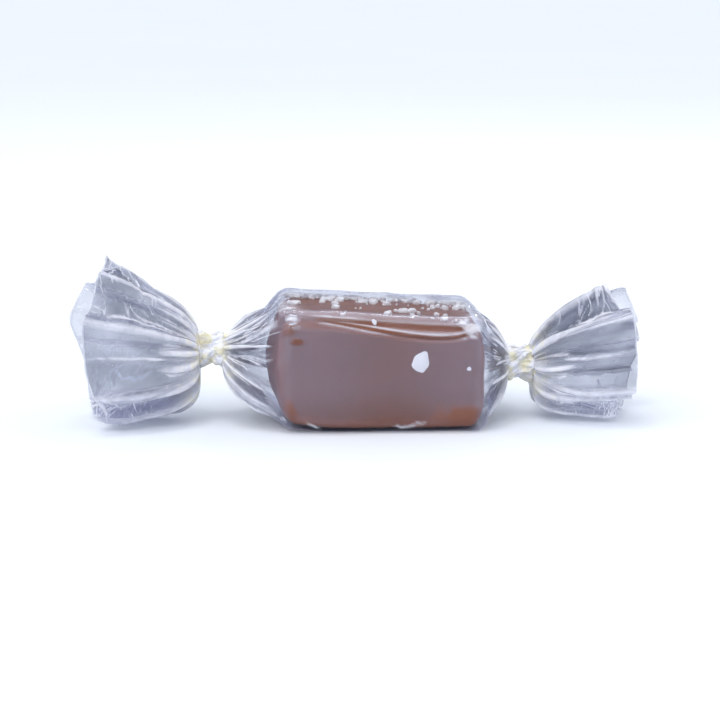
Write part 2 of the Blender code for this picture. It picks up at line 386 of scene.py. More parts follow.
def mesh_piece(name, vertices, quads, triangles=(), attributes=None, sharp=None):
    """Makes an object of arrays: vertices, quads, then triangles, with a float attribute for each name
    given."""
    mesh = bpy.data.meshes.new(name)
    triangles = np.asarray(triangles, dtype=int).reshape(-1, 3)
    loops = np.concatenate((quads.ravel(), triangles.ravel()))
    starts = np.concatenate((np.arange(len(quads)) * 4, len(quads) * 4 + np.arange(len(triangles)) * 3))
    mesh.vertices.add(len(vertices))
    mesh.vertices.foreach_set("co", vertices.astype(np.float32).ravel())
    mesh.loops.add(len(loops))
    mesh.loops.foreach_set("vertex_index", loops.astype(np.int32))
    mesh.polygons.add(len(starts))
    mesh.polygons.foreach_set("loop_start", starts.astype(np.int32))
    mesh.update(calc_edges=True)
    mesh.validate()
    for key, values in (attributes or {}).items():
        layer = mesh.attributes.new(key, "FLOAT", "POINT")
        layer.data.foreach_set("value", values.astype(np.float32).ravel())
    mesh.shade_smooth()
    if sharp is not None:
        mesh.set_sharp_from_angle(angle=sharp)
    piece = bpy.data.objects.new(name, mesh)
    bpy.context.scene.collection.objects.link(piece)
    return piece


# Materials


class Shading:
    """A new material, with short ways to add nodes to it. Factors and values are sockets or numbers."""

    def __init__(self, name):
        self.material = bpy.data.materials.new(name)
        self.material.use_nodes = True
        self.nodes = self.material.node_tree.nodes
        self.shader = self.nodes["Principled BSDF"]

    def feed(self, socket, source):
        """Links a socket to another one, or sets its value."""
        if isinstance(source, bpy.types.NodeSocket):
            self.material.node_tree.links.new(source, socket)
        else:
            socket.default_value = source

    def math(self, operation, *sources, clamp=False):
        node = self.nodes.new("ShaderNodeMath")
        node.operation = operation
        node.use_clamp = clamp
        for socket, source in zip(node.inputs, sources):
            self.feed(socket, source)
        return node.outputs[0]

    def mix(self, factor, first, second):
        """Mixes two colours, each a socket or three numbers."""
        node = self.nodes.new("ShaderNodeMix")
        node.data_type = "RGBA"
        self.feed(node.inputs["Factor"], factor)
        sockets = [socket for socket in node.inputs if socket.type == "RGBA"]
        for socket, source in zip(sockets, (first, second)):
            self.feed(socket, source if isinstance(source, bpy.types.NodeSocket) else (*source, 1.0))
        return next(socket for socket in node.outputs if socket.type == "RGBA")

    def noise(self, scale, detail):
        """Noise on Object coordinates, at a scale in cells a metre."""
        place = self.nodes.new("ShaderNodeTexCoord")
        noise = self.nodes.new("ShaderNodeTexNoise")
        self.feed(noise.inputs["Scale"], scale)
        self.feed(noise.inputs["Detail"], detail)
        self.feed(noise.inputs["Vector"], place.outputs["Object"])
        return noise.outputs["Fac"]

    def attribute(self, name):
        node = self.nodes.new("ShaderNodeAttribute")
        node.attribute_name = name
        return node.outputs["Fac"]

    def set(self, **sources):
        """Feeds the shader's own sockets; an underscore stands for the space in a socket's name."""
        for name, source in sources.items():
            self.feed(self.shader.inputs[name.replace("_", " ")], source)


def caramel_material(settings):
    """Soft brown caramel: faint mottling, a slight sheen and fine pits, with a lighter orange painted on as
    light over its rounded edges, ends and top and where the film sticks.
    """
    made = Shading("soft_caramel")
    base = Vector(settings.color)
    tone = made.mix(made.noise(220.0, 3.0), base * 0.82, base * 1.18)
    # Painted light: the lighter orange is mixed in where the film presses
    painted_light = made.math("MULTIPLY", made.attribute("painted_light"), PAINTED_LIGHT_SHARE)
    made.set(
        Base_Color=made.mix(painted_light, tone, settings.painted_light_color),
        Subsurface_Weight=0.18,
        Subsurface_Radius=(1.0, 0.42, 0.2),
        Subsurface_Scale=0.0012,
        Roughness=made.math("MULTIPLY_ADD", made.noise(1500.0, 2.0), 0.22, 0.36),
    )
    bump = made.nodes.new("ShaderNodeBump")
    made.feed(bump.inputs["Strength"], 0.10)
    made.feed(bump.inputs["Distance"], 0.0001)
    made.feed(bump.inputs["Height"], made.noise(900.0, 4.0))
    made.set(Normal=bump.outputs["Normal"])
    return made.material


def salt_material(settings):
    """White salt, brighter and duller from grain to grain."""
    made = Shading("sea_salt")
    base = Vector(settings.color)
    made.set(
        Base_Color=made.mix(made.noise(2600.0, 2.0), base * 0.86, base),
        Roughness=0.32,
        Subsurface_Weight=0.25,
        Subsurface_Radius=(1.0, 1.0, 1.0),
        Subsurface_Scale=0.0004,
    )
    return made.material


def film_material(settings):
    """Clear film: it lets light through by its tint, greyer where gathered as painted shade, mirrors more at
    a slant, has painted highlights of white along sharp creases and edges and painted white in tight
    gathers, where a yellow tint shows in patches, carries a painted reflection of pale blue on loose film,
    and barely mirrors where it sticks to the caramel."""
    made = Shading("clear_film")
    gather_and_shade = made.attribute("gather_and_shade")
    tight = made.attribute("tight")
    apart = made.math("SUBTRACT", 1.0, made.attribute("contact"), clamp=True)

    facing = made.nodes.new("ShaderNodeLayerWeight")
    made.feed(facing.inputs["Blend"], 0.5)
    slant = made.math("POWER", facing.outputs["Facing"], 5.0)
    mirror = made.math("MULTIPLY_ADD", slant, MIRROR_AT_A_SLANT, MIRROR_FACING)
    mirror = made.math("MULTIPLY", mirror, made.math("MAXIMUM", apart, STUCK_MIRROR_SHARE))

    patch = made.noise(700.0, 2.0)
    # Painted highlights: white along sharp creases and edges
    painted_amount = made.math("MULTIPLY", made.attribute("crease_highlight"), CREASE_HIGHLIGHT)
    # Painted white in tight gathers: partly the crushed film's own whitening, partly painted reflection from
    # the many stacked layers
    painted_amount = made.math("ADD", painted_amount, made.math("MULTIPLY", tight, KNOT_PAINTED_WHITE))
    painted_amount = made.math("MULTIPLY", painted_amount, made.math("ADD", patch, 0.45), clamp=True)
    # Painted reflection: the pale blue veil on loose film, less where the film is gathered or stuck
    loose = made.math("SUBTRACT", 1.0, made.math("MULTIPLY", gather_and_shade, GATHER_CLEARS), clamp=True)
    painted_reflection = made.math("MULTIPLY_ADD", made.math("MULTIPLY", apart, loose), LOOSE_PAINTED_REFLECTION, STUCK_PAINTED_REFLECTION)
    painted_amount = made.math("ADD", painted_amount, painted_reflection, clamp=True)

    solid = made.math("MAXIMUM", mirror, painted_amount)
    metal = made.math("SUBTRACT", 1.0, made.math("DIVIDE", painted_amount, solid), clamp=True)
    # A yellow tint mixed in patches where the film is tight, deep in the knots
    yellow = made.math("MULTIPLY", tight, made.math("SUBTRACT", patch, 0.42), clamp=True)
    yellow = made.math("MULTIPLY", yellow, 3.0, clamp=True)
    body = made.mix(made.math("DIVIDE", painted_reflection, painted_amount, clamp=True), settings.painted_white, settings.painted_reflection)
    made.set(Base_Color=made.mix(yellow, body, settings.knot_yellow), Metallic=metal, Roughness=FILM_ROUGHNESS)

    through = made.nodes.new("ShaderNodeBsdfTransparent")
    # Painted shade: greyer where the film is gathered
    made.feed(through.inputs["Color"], made.mix(gather_and_shade, settings.clear, settings.gathered_shade_tint))
    blend = made.nodes.new("ShaderNodeMixShader")
    for socket, source in zip(blend.inputs, (solid, through.outputs[0], made.shader.outputs[0])):
        made.feed(socket, source)
    made.feed(made.nodes["Material Output"].inputs["Surface"], blend.outputs[0])
    return made.material


def floor_material():
    """Matt white board with the faintest mottling."""
    made = Shading("studio_floor")
    tone = made.mix(made.noise(6.0, 2.0), (0.87, 0.915, 0.965), (0.90, 0.935, 0.98))
    made.set(Base_Color=tone, Roughness=1.0, Specular_IOR_Level=0.0)
    return made.material


# The block and its salt


def block_lift(x):
    """Height of the block's lower face over its resting height: nil on the right, rising to the left
    end."""
    return BLOCK_LIFT_LEFT * smooth_rise((LIFT_STARTS_AT - x) / (BLOCK_LENGTH / 2 + LIFT_STARTS_AT))


def block_bottom(x):
    """Height of the block's lower face: its lift over the height at which it lies."""
    return BLOCK_FLOOR + block_lift(x)


def block_top(x):
    """Height of the block's upper face: a straight line from the left end's height to the right one's."""
    along = x / BLOCK_LENGTH + 0.5
    return BLOCK_FLOOR + BLOCK_HEIGHT_LEFT + (BLOCK_HEIGHT_RIGHT - BLOCK_HEIGHT_LEFT) * along


def section_marks(half_depth, height, radius):
    """Shares of the way round a rounded rectangle at which its corners and sides begin, and its whole
    length."""
    arc = 0.5 * math.pi * radius
    lengths = np.array((arc, 2 * (half_depth - radius), arc, height - 2 * radius) * 2)
    return np.concatenate(((0.0,), np.cumsum(lengths))) / lengths.sum(), lengths.sum()


FILM_MARKS, FILM_AROUND = section_marks(
    BLOCK_DEPTH / 2 + FILM_REACH,
    BLOCK_HEIGHT_LEFT / 2 + BLOCK_HEIGHT_RIGHT / 2 + FILM_OVER_SALT,
    FILM_CORNER_RADIUS,
)
EDGE_MIDDLE = (FILM_MARKS[2] + FILM_MARKS[3]) / 2


def rounded_section(around, half_depth, low, high, radius, marks):
    """Points of a rounded rectangle, from the upper back corner over the top, down the front and on. The
    angle of the outward direction grows over each corner, then the corner's centre moves over the side
    after it."""
    reach_y = half_depth - radius
    reach_z = (high - low) / 2 - radius
    stage = np.interp(around % 1.0, marks, np.arange(9))
    corner = np.minimum(stage // 2, 3).astype(int)
    turned = np.clip(stage - 2 * corner, 0.0, 1.0)
    moved = np.clip(stage - 2 * corner - 1, 0.0, 1.0)
    angle = 0.5 * math.pi * (corner + turned)
    sign_y = np.array((1, -1, -1, 1, 1))
    sign_z = np.array((1, 1, -1, -1, 1))
    side_y = sign_y[corner] + (sign_y[corner + 1] - sign_y[corner]) * moved
    side_z = sign_z[corner] + (sign_z[corner + 1] - sign_z[corner]) * moved
    y = side_y * reach_y + radius * np.cos(angle)
    z = (low + high) / 2 + side_z * reach_z + radius * np.sin(angle)
    return y, z, angle


def stuck_lines(x, below):
    """Where the film sticks along the upper front edge: two lines that part slowly from the left and meet
    again at the right. Below is the distance down from the middle of the edge. Each line is a bell curve
    of it."""
    along = np.clip((x - STUCK_FROM) / (STUCK_TO - STUCK_FROM), 0.0, 1.0)
    part = 3.08 * along**1.5 * np.sqrt(1.0 - along)
    lower = bell((below - STUCK_LOWER * part) / STUCK_WIDTH)
    upper = bell((below - STUCK_UPPER * part) / (STUCK_WIDTH * (1 + 0.7 * part)))
    return np.maximum(lower, upper) * smooth_rise(6 * part)


def stuck_patch(x, z):
    """Where the film sticks on the front: ragged patches, each full near its middle and gone 1.6 times
    its half width away."""
    ragged = 0.35 * lattice_noise(x * 900 + 30, z * 900 + 30, 12)
    patch = 0.0 * ragged
    for place_x, place_z, half_width, half_height in STUCK_PATCHES:
        far = np.hypot((x - place_x) / half_width, (z - place_z) / half_height)
        patch = np.maximum(patch, smooth_rise(1.6 - far - ragged))
    return patch


def closer_shares(start, stop, count, middle, closer):
    """Even steps from start to stop, but closer together about the middle, by a bell curve."""
    even = np.linspace(start, stop, 4000)
    total = np.cumsum(1.0 + closer * bell((even - middle) / 0.035))
    return np.interp(np.linspace(total[0], total[-1], count), total, even)


def block_surface(settings, rows=110, columns=300):
    """The block: rounded sections carried along its length. Over the last edge radius of each end the
    section shrinks as a quarter circle does, and then the flat end closes on a pole, bulged at the
    left."""
    radius = settings.edge_radius
    turn = np.linspace(0.0, 0.5 * math.pi, 12)
    flat = np.linspace(0.0, 1.0, 18)[1:-1]
    half = BLOCK_LENGTH / 2
    middle = np.linspace(-half + radius, half - radius, rows)[1:-1]
    left_x = -half + radius * (1 - np.sin(turn))
    left_in = radius * (1 - np.cos(turn))
    ends = np.full(len(flat), half)
    x = np.concatenate((-ends, left_x[::-1], middle, -left_x, ends))
    full = np.full(len(flat), radius)
    inset = np.concatenate((full, left_in[::-1], np.zeros(len(middle)), left_in, full))
    shrink = np.concatenate((flat, np.ones(len(x) - 2 * len(flat)), flat[::-1]))[:, None]
    marks, length = section_marks(BLOCK_DEPTH / 2, BLOCK_HEIGHT_LEFT, LONG_EDGE_RADIUS)
    edge = (marks[2] + marks[3]) / 2
    around = closer_shares(0.0, 1.0, columns + 1, edge, 2.5)[:-1]
    low = block_bottom(x)[:, None] + inset[:, None]
    high = block_top(x)[:, None] - inset[:, None]
    half_depth = BLOCK_DEPTH / 2 - inset[:, None]
    around_all = around[None, :] + 0 * shrink
    y, z, angle = rounded_section(around_all, half_depth, low, high, LONG_EDGE_RADIUS, marks)
    centre = (low + high) / 2
    y = y * shrink
    z = centre + (z - centre) * shrink
    share_x = (x / BLOCK_LENGTH)[:, None]
    share_y = y / BLOCK_DEPTH
    share_z = (z - centre) / (BLOCK_HEIGHT_LEFT + BLOCK_HEIGHT_RIGHT) * 2
    y = y - np.sign(y) * BLOCK_BULGE * (1 - crown(share_x, share_z)) * np.abs(2 * share_y) ** 3
    z = z - np.clip(2 * share_z, 0, 1) ** 3 * BLOCK_BULGE * (1 - crown(share_x, share_y))
    x = x[:, None] - 2 * share_x * BLOCK_BULGE * (1 - crown(share_z))
    pushed = smooth_rise((-half + radius - x) / radius) * np.clip(crown(share_y, share_z), 0, 1) ** 1.3
    x = x - END_BULGE * pushed
    grid = np.stack((x, y, z), axis=2)
    dent = lattice_noise(x * 260 + 9, y * 260 + z * 300 + 30, 5)
    dent = dent + 0.5 * lattice_noise(x * 620 + 9, (y + z) * 620 + 30, 6)
    grid = grid - grid_normals(grid) * (settings.unevenness * (0.5 + 0.5 * dent))[:, :, None]
    lines = stuck_lines(x, (around[None, :] - edge) * length)
    grid = grid - grid_normals(grid) * (BLOCK_GROOVE * lines)[:, :, None]
    # Painted light: a lighter orange on the rounded edges, the ends, the upper face, the stuck patches of
    # the front and the stuck lines
    rounded = np.abs(np.sin(2 * angle)) * (shrink > 0.999)
    ended = smooth_rise((np.abs(x) - half + 0.8 * radius) / radius)
    front = (y < -0.4 * BLOCK_DEPTH) + 0.0
    upper = 0.6 * smooth_rise(np.sin(angle) * 3 - 2)
    painted_light = np.clip(np.maximum.reduce((rounded, ended, upper)), 0, 1)
    painted_light = np.maximum(0.8 * np.maximum(painted_light, front * stuck_patch(x, z)), lines)
    return grid, painted_light


def close_ends(grid, *values):
    """Adds a pole at each end of a closed grid, for its points and for each array of values, and the
    triangles that join the poles to the first and the last row."""
    rows, columns = grid.shape[:2]
    vertices = np.concatenate((grid.reshape(-1, 3), grid[:1].mean(axis=1), grid[-1:].mean(axis=1)))
    extended = [np.concatenate((value.ravel(), (value[0].mean(), value[-1].mean()))) for value in values]
    column = np.arange(columns)
    following = (column + 1) % columns
    last = (rows - 1) * columns
    first_cap = np.stack((following, column, np.full(columns, rows * columns)), axis=1)
    last_cap = np.stack((last + column, last + following, np.full(columns, rows * columns + 1)), axis=1)
    return vertices, np.concatenate((first_cap, last_cap)), extended


def make_block(settings):
    """The caramel itself, closed at both ends."""
    grid, painted_light = block_surface(settings)
    vertices, caps, (painted_light,) = close_ends(from_block_middle(grid), painted_light)
    quads = grid_faces(*grid.shape[:2], closed=True)
    piece = mesh_piece("caramel_block", vertices, quads, caps, {"painted_light": painted_light})
    piece.data.materials.append(caramel_material(settings))
    return piece


def rough_ball(detail):
    """Corners and faces of a ball of triangles."""
    work = bmesh.new()
    bmesh.ops.create_icosphere(work, subdivisions=detail, radius=0.5)
    corners = np.array([vert.co for vert in work.verts])
    faces = np.array([[vert.index for vert in face.verts] for face in work.faces])
    work.free()
    return corners, faces


def petal(width, height, thick, tilt):
    """A flake with a pointed tip: rings of points on a leaf's outline, which narrows as the sine of the
    way up, raised in the middle as a roof is."""
    turns = np.linspace(0, 2 * math.pi, FLAKE_POINTS, endpoint=False)
    rings = np.array((0.30, 0.72, 1.0))[:, None]
    up = rings * 0.5 * height * np.cos(turns) * (1 + 0.12 * np.cos(turns))
    out = rings * 0.5 * width * np.sin(turns) * (1 - 0.28 * np.cos(turns))
    out = out * (1 + 0.10 * np.sin(5 * turns + 1.0))
    proud = -thick * (1.0 - rings**2.2) + 0 * up
    x = out * math.cos(tilt) + up * math.sin(tilt)
    z = up * math.cos(tilt) - out * math.sin(tilt)
    return np.stack((x, proud, z), axis=2)


def make_salt(settings):
    """Grains on the upper face, thicker towards the back, and the flakes and the speck at the front."""
    rng = np.random.default_rng(31)
    count = settings.count
    corners, faces = rough_ball(2)
    share = rng.random(count) ** 2.0
    width = settings.smallest + (settings.largest - settings.smallest) * share
    x = rng.uniform(-0.45, 0.45, count) * BLOCK_LENGTH
    y = (0.455 - 0.80 * rng.random(count) ** 3.2) * BLOCK_DEPTH
    face = block_top(x) - BLOCK_BULGE * (1 - crown(x / BLOCK_LENGTH, y / BLOCK_DEPTH))
    tall = np.minimum(width * 0.9, TALLEST_GRAIN)
    turn = rng.uniform(0, math.pi, count)
    lumps = corners[None] * (1 + rng.uniform(-0.22, 0.22, (count, len(corners), 1)))
    lumps = np.sign(lumps) * np.abs(2 * lumps) ** 0.8 / 2
    size = np.stack((width, width * rng.uniform(0.6, 1.0, count), tall), axis=1)
    local = lumps * size[:, None, :]
    cos, sin = np.cos(turn)[:, None], np.sin(turn)[:, None]
    along, across, up = local[..., 0], local[..., 1], local[..., 2]
    turned = np.stack((along * cos - across * sin, along * sin + across * cos, up), axis=2)
    place = np.stack((x, y, face + 0.05 * tall), axis=1)
    vertices = [(turned + place[:, None, :]).reshape(-1, 3)]
    triangles = [(np.arange(count)[:, None, None] * len(corners) + faces[None]).reshape(-1, 3)]
    total = count * len(corners)
    for flake_x, flake_z, wide, high, tilt in FRONT_FLAKES:
        up = (flake_z - block_bottom(flake_x)) / (block_top(flake_x) - block_bottom(flake_x)) - 0.5
        front = -BLOCK_DEPTH / 2 + BLOCK_BULGE * (1 - crown(flake_x / BLOCK_LENGTH, up))
        thick = FLAKE_THICKNESS * wide
        shape = petal(wide, high, thick, tilt)
        leaf = grid_faces(*shape.shape[:2], closed=True)
        point = np.arange(FLAKE_POINTS)
        pole = np.full(FLAKE_POINTS, shape.shape[0] * FLAKE_POINTS)
        top = np.stack(((point + 1) % FLAKE_POINTS, point, pole), axis=1)
        points = np.concatenate((shape.reshape(-1, 3), [(0.0, -thick, 0.0)]))
        vertices.append(points + np.array((flake_x, front + 0.00003, flake_z)))
        triangles.append(total + np.concatenate((leaf[:, (0, 1, 2)], leaf[:, (0, 2, 3)], top)))
        total += len(points)
    piece = mesh_piece(
        "salt_grains", from_block_middle(np.concatenate(vertices)), np.zeros((0, 4), dtype=int),
        np.concatenate(triangles), sharp=math.radians(26)
    )
    piece.data.materials.append(salt_material(settings))
    return piece


# The film


def film_section(x, turns, inset):
    """Film round the block at each x: a rounded rectangle that clears the block, drawn in by the inset."""
    inside = np.clip(x, -BLOCK_LENGTH / 2, BLOCK_LENGTH / 2)
    low = block_lift(inside) + FILM_UNDER + inset
    high = block_top(inside) + FILM_OVER_SALT - inset
    half_depth = BLOCK_DEPTH / 2 + FILM_REACH - inset + 0 * x
    y, z, angle = rounded_section(turns, half_depth, low, high, FILM_CORNER_RADIUS, FILM_MARKS)
    return np.stack((x + 0 * y, y, z), axis=2), angle


def end_inset(x):
    """How far the film draws in over the block's rounded ends: the fall of a quarter circle."""
    past = np.clip((np.abs(x) - FILM_HALF + END_RADIUS) / END_RADIUS, 0.0, END_TURN)
    return END_RADIUS * (1 - np.sqrt(1 - past**2))


def around_angle(turns):
    """Angle about the twist axis of each point of a section, as turns runs on past 1."""
    high = block_top(0.0) + FILM_OVER_SALT
    half_depth = BLOCK_DEPTH / 2 + FILM_REACH
    y, z, _ = rounded_section(turns % 1.0, half_depth, 0.0, high, FILM_CORNER_RADIUS, FILM_MARKS)
    angle = np.arctan2(z - high / 2, y) % (2 * math.pi)
    start = np.arctan2(high / 2 - FILM_CORNER_RADIUS, half_depth)
    return (angle - start) % (2 * math.pi) + start + 2 * math.pi * np.floor(turns)


def folds(angle, turn, count=PLEAT_COUNT):
    """Fold pattern round the axis: 1 less twice the cosine's size, so ridges are sharp and valleys round.
    Its spacing wanders by a few sines of the angle."""
    warped = angle + turn
    for number, strength, start in PLEAT_WANDER:
        warped = warped + strength * np.sin(number * angle + start + turn)
    ridge = 1.0 - 2.0 * np.abs(np.cos(0.5 * count * warped))
    return ridge * (0.78 + 0.22 * np.sin(2.0 * angle + 3.0 * turn))


def tension_folds(angle, along, seed):
    """Narrow folds between the main ones, each strong in some stretches and faint in others."""
    patch = lattice_noise(angle * 6 / math.pi, along * 2.0 + seed, seed, 12)
    other = lattice_noise(angle * 9 / math.pi, along * 3.0 + seed, seed + 1, 18)
    fine = folds(angle, 0.7 * seed, 25) * (0.5 + 0.5 * patch)
    finer = folds(angle, 1.3 * seed, 47) * smooth_rise(other * 1.5)
    return 0.75 * fine + 0.25 * finer


def flat_facets(x, y, seed, period):
    """Random heights at the corners of a bent grid, joined by flat triangles: a crumpled sheet. X
    repeats."""
    size = 64
    table = np.random.default_rng(seed).uniform(-1.0, 1.0, (size, size))
    bent_x = x + 0.38 * lattice_noise(x, y * 0.9 + 5, seed + 100, period)
    bent_y = y + 0.38 * lattice_noise(x, y * 0.9 + 25, seed + 200, period)
    column = np.floor(bent_x).astype(int)
    row = np.floor(bent_y).astype(int)
    u = bent_x - column
    v = bent_y - row

    def value(i, j):
        return table[(i % period) % size, j % size]

    origin, across = value(column, row), value(column + 1, row)
    up, far = value(column, row + 1), value(column + 1, row + 1)
    near = origin + (across - origin) * u + (up - origin) * v
    beyond = far + (up - far) * (1 - u) + (across - far) * (1 - v)
    return np.where(u + v < 1, near, beyond)


def over_floor(points, clear, softness):
    """Lifts what would go through the floor by a soft step, so that the film lies flattened on it."""
    points[..., 2] = clear + softness * np.logaddexp(0.0, (points[..., 2] - clear) / softness)
    return points


def fold_depth(angle, along, end, strength):
    """Main folds, and narrow ones that are strongest in mid stretch."""
    return folds(angle, end["pleat_turn"]) + strength * tension_folds(angle, along, end["seed"])


def neck_surface(end, along, turns):
    """From the block's end in to the knot: runs that narrow as a power of what is left of the way, slower
    below by neck_sag, folded more and more."""
    side = end["side"]
    start_x = side * FILM_NECK_FROM
    start, _ = film_section(np.full_like(along, start_x), turns, end_inset(start_x))
    angle = around_angle(turns)
    knot = np.array(end["knot"])
    knot_x = knot[0] - side * KNOT_LENGTH / 2
    goal_y = knot[1] + KNOT_RADIUS * 0.85 * np.cos(angle)
    goal_z = knot[2] + KNOT_RADIUS * 0.85 * np.sin(angle)
    near = (1.0 - along) ** (end["neck_bow"] * (1.0 - end["neck_sag"] * smooth_rise(0.3 - np.sin(angle))))
    y = goal_y + (start[..., 1] - goal_y) * near
    z = goal_z + (start[..., 2] - goal_z) * near
    x = start_x + (knot_x - start_x) * along
    middle_y = y.mean(axis=1, keepdims=True)
    middle_z = z.mean(axis=1, keepdims=True)
    reach = np.hypot(y - middle_y, z - middle_z)
    depth = np.minimum(PLEAT_DEPTH * smooth_rise(1.3 * along), PLEAT_SHARE * reach)
    fold = fold_depth(angle, along, end, 0.45) * depth
    y = y + (y - middle_y) / reach * fold
    z = z + (z - middle_z) / reach * fold
    return np.stack((x + 0 * y, y, z), axis=2)


def pocket(angle, along, end):
    """A smooth hollow between two strong ridges on the side of the fan that faces the front: how much it
    takes the place of the folds, and its own depth, which rises as a power from its middle to the
    ridges."""
    middle, half_width = end["pocket"]
    away = np.abs((angle - middle + math.pi) % (2 * math.pi) - math.pi) / half_width
    taken = smooth_rise((1.35 - away) / 0.35) * smooth_rise(along / 0.5)
    return taken, -0.9 + 1.9 * np.minimum(away, 1.0) ** 1.6


def fan_surface(end, along, turns):
    """Past the knot: an ellipse that widens as a power of the way along, soonest below, folded by the
    pleats, with a rim that draws back above and below by the square of the sine."""
    side = end["side"]
    start = np.array(end["knot"]) + np.array((side * KNOT_LENGTH / 2, 0.0, 0.0))
    rim = np.array(end["rim"])
    angle = around_angle(turns) + side * TWIST
    bow = end["flare_bow"] * (1.0 - DROOP * smooth_rise(0.5 - np.sin(angle)))
    spread = np.maximum(along, 1e-6) ** bow
    half_depth = KNOT_RADIUS * 0.8 + (end["rim_half"][0] - KNOT_RADIUS * 0.8) * spread
    half_height = KNOT_RADIUS * 0.8 + (end["rim_half"][1] - KNOT_RADIUS * 0.8) * spread
    depth = np.minimum(PLEAT_DEPTH, PLEAT_SHARE * half_depth)
    fold = fold_depth(angle - side * TWIST, along, end, 0.38 * (1.0 - 0.75 * smooth_rise(along * 1.6)))
    taken, hollow = pocket(angle, along, end)
    fold = fold + (hollow - fold) * taken
    centre = start + (rim - start) * along[..., None]
    tilt_y, tilt_z = end["rim_tilt"]
    x = centre[..., 0] + along * (tilt_y * np.cos(angle) + tilt_z * np.sin(angle))
    x = x - side * RIM_ROUND * (along * np.sin(angle)) ** 2
    x = x + along**3 * 0.0011 * lattice_noise(turns * 14, along * 2, end["seed"] + 9, 14)
    curl = 0.0011 * lattice_noise(turns * 9, along * 2, end["seed"] + 19, 9) * smooth_rise(along * 3 - 2)
    half_depth = half_depth + curl
    half_height = half_height + curl
    y = centre[..., 1] + (half_depth + fold * depth) * np.cos(angle)
    z = centre[..., 2] + (half_height + fold * depth) * np.sin(angle)
    return np.stack((x, y, z), axis=2), fold, taken


def crumpled(grid, turns, along, depth, seed):
    """Moves a grid along its normals by flat facets of three sizes; along is in metres."""
    coarse = flat_facets(turns * 15, along / 0.0042, seed, 15)
    middle = flat_facets(turns * 34, along / 0.0024, seed + 1, 34)
    fine = flat_facets(turns * 61, along / 0.0012, seed + 2, 61)
    height = (0.6 * coarse + 0.28 * middle + 0.12 * fine) * depth
    return grid + grid_normals(grid) * height[..., None]


def dress_in_film(piece, settings):
    """Gives a piece the film's material, which is made once."""
    piece.data.materials.append(bpy.data.materials.get("clear_film") or film_material(settings))
    return piece


def film_piece(name, grid, marks, settings):
    """A sheet with its attributes and its thickness, which is added on the inside. Marks holds a grid of
    values for each attribute; the sharper the fold and the nearer the sheet's edge, the more white is
    painted on it as a highlight."""
    rows, columns = grid.shape[:2]
    apart = 1.0 - np.clip(marks["contact"], 0.0, 1.0)
    fold = smooth_rise((sharpness(grid, CREASE_WIDTH) - 0.12) / 0.5) * apart
    marks["crease_highlight"] = np.maximum(fold, marks["crease_highlight"])
    piece = mesh_piece(
        name,
        from_block_middle(grid).reshape(-1, 3),
        grid_faces(rows, columns, closed=False),
        attributes=marks,
    )
    wall = piece.modifiers.new("film", "SOLIDIFY")
    wall.thickness = settings.thickness
    wall.offset = -1.0
    wall.use_even_offset = False
    return dress_in_film(piece, settings)


def sheet_turns(settings, columns, closer):
    """Turns from the sheet's inner free edge, low at the back, to its outer one, closer together by the
    given share at the upper front edge."""
    start = 0.86
    return closer_shares(start, start + 1.0 + settings.overlap, columns, 1.0 + EDGE_MIDDLE, closer)


def spiral(grid, turns, step):
    """Moves each turn of the sheet outwards over the one below it."""
    rise = (turns - turns.min()) / np.ptp(turns) * step
    return grid + grid_normals(grid) * rise[..., None]


def sheet_edges(grid):
    """1 on the first and last column of a sheet, nil elsewhere: its cut edges."""
    edge = np.zeros(grid.shape[:2])
    edge[:, 0] = edge[:, -1] = 1.0
    return edge


def film_contact(grid, spread, along):
    """How fully the film sticks to the caramel: on most of the top, on the rounded edges except above the
    upper front one, a little in the middle of the front, and in the patch low at its right."""
    x, y, z = grid[..., 0], grid[..., 1], grid[..., 2]
    below = (spread - 1.0 - EDGE_MIDDLE) * FILM_AROUND
    on_body = smooth_rise((BLOCK_LENGTH / 2 - np.abs(x)) / 0.0022) * (along < 1e-9)
    on_top = smooth_rise((-below - 0.0022) / 0.0006) * smooth_rise((y + BLOCK_DEPTH / 2) / 0.001 * 4)
    patchy = 0.80 + 0.25 * lattice_noise(x * 400 + 9, y * 400 + 9, 15)
    on_top = on_top * (z > 0.6 * block_top(x)) * patchy
    front = y < -0.45 * BLOCK_DEPTH
    # Where the film sticks, its painted reflection is left off: along the low front edge this stands in for
    # the shaded floor that the film mirrors there, and in the middle of the front it leaves the front darker
    low_edge = front * smooth_rise((0.0024 - z + block_lift(x)) / 0.0012) * 0.85
    high_edge = front * smooth_rise(1 - np.abs(below - 0.0010) / 0.0010) * 0.4
    middle = 0.38 * bell((x - 0.001) / 0.0065) + 0.42 * smooth_rise((0.007 - z) / 0.005)
    patch = front * stuck_patch(x, z)
    contact = np.maximum.reduce((on_top, low_edge, high_edge, front * middle, patch)) * on_body
    return np.clip(contact, 0.0, 1.0)


